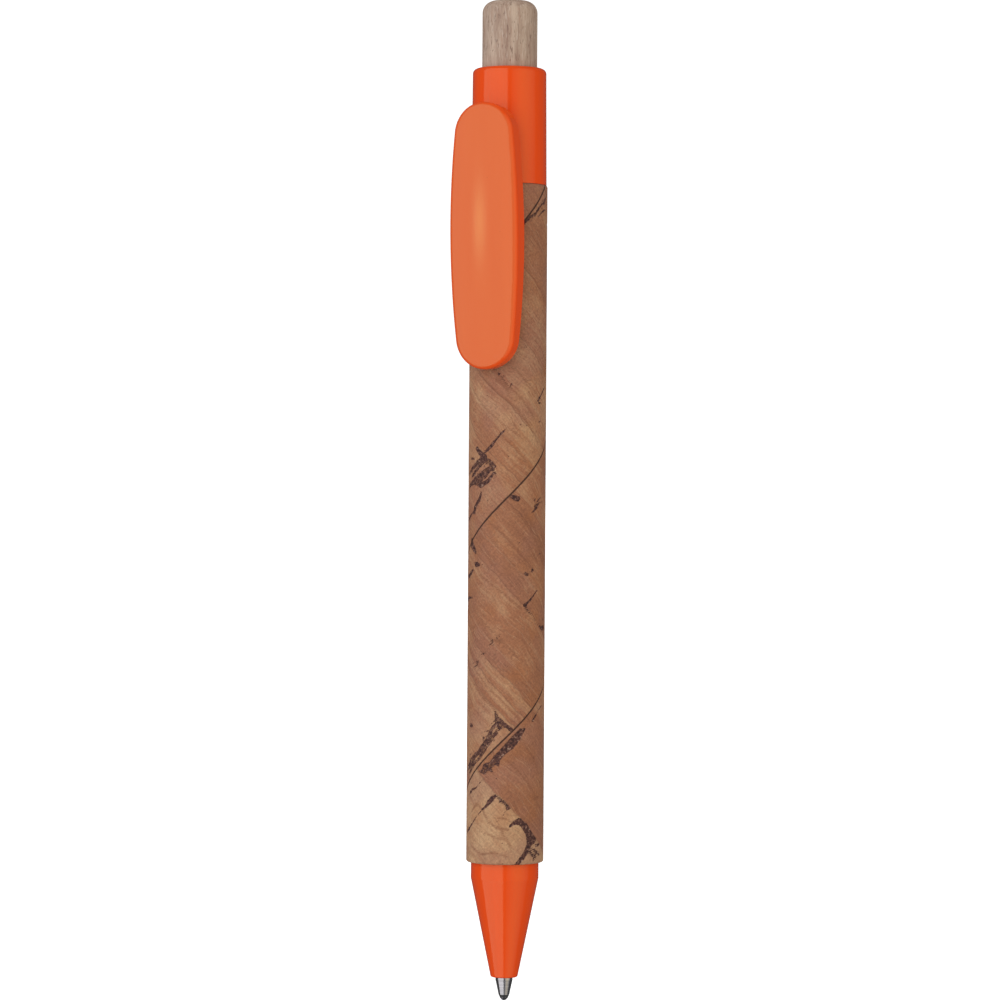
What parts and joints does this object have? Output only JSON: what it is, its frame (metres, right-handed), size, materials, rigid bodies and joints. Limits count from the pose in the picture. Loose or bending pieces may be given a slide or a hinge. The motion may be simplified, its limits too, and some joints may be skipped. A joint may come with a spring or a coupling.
{
  "type": "retractable ballpoint pen",
  "caption": "Push-button ballpoint pen with a cork-wrapped paper barrel, a wooden button, and a plastic collar, rounded clip and nose cone.",
  "frame": {"origin": "on the pen's axis, at the lower end of the cork-covered barrel", "axes": "+Z from the writing tip towards the push button, -Y through the middle of the clip, +X to the right seen from the clip's side"},
  "size_m": [0.0108, 0.0145, 0.1399],
  "materials": {
    "button_wood": "sanded, unvarnished",
    "orange_plastic": "moulded gloss",
    "cork": "sanded cork ply",
    "kraft_paper": "wound kraft paper",
    "mechanism_plastic": "moulded acetal",
    "refill_plastic": "extruded polypropylene",
    "ink": "liquid",
    "grease": "clear grease",
    "point_metal": "turned nickel silver",
    "ball_metal": "polished carbide",
    "spring_steel": "drawn wire"
  },
  "bodies": {
    "barrel": {"cork_wrap": "cork", "paper_outer_ply": "kraft_paper", "paper_inner_ply": "kraft_paper", "collar": "orange_plastic", "cam_guide": "mechanism_plastic"},
    "nose_cone": {"nose_cone": "orange_plastic"},
    "clip": {"clip": "orange_plastic"},
    "button": {"push_button": "button_wood", "plunger": "mechanism_plastic"},
    "refill": {"ink_tube": "refill_plastic", "ink_column": "ink", "grease_plug": "grease", "point_holder": "mechanism_plastic", "writing_point": "point_metal", "return_spring": "spring_steel"},
    "rotor": {"rotor": "mechanism_plastic"},
    "ball": {"writing_ball": "ball_metal"}
  },
  "joints": [
    {"name": "button_slide", "type": "slide", "parent": "barrel", "child": "button", "axis": [0, 0, 1], "range_m": [-0.001, 0.0055]},
    {"name": "refill_slide", "type": "slide", "parent": "barrel", "child": "refill", "axis": [0, 0, 1], "range_m": [-0.001, 0.0055], "deforming": ["return_spring"]},
    {"name": "rotor_index", "type": "hinge", "parent": "refill", "child": "rotor", "pos_m": [0, 0, 0.084], "axis": [0, 0, 1], "continuous": true},
    {"name": "ball_roll", "type": "hinge", "parent": "refill", "child": "ball", "pos_m": [0, 0, -0.01895], "axis": [1, 0, 0], "continuous": true},
    {"name": "clip_flex", "type": "hinge", "parent": "barrel", "child": "clip", "pos_m": [0, -0.0046, 0.1], "axis": [-1, 0, 0], "range_deg": [0, 4.5], "stiffness_Nm_per_rad": 2.2},
    {"name": "nose_cone_pull", "type": "slide", "parent": "barrel", "child": "nose_cone", "axis": [0, 0, -1], "range_m": [0, 0.015]}
  ],
  "couplings": [
    {"joint": "refill_slide", "follows": "button_slide", "ratio": 1}
  ]
}
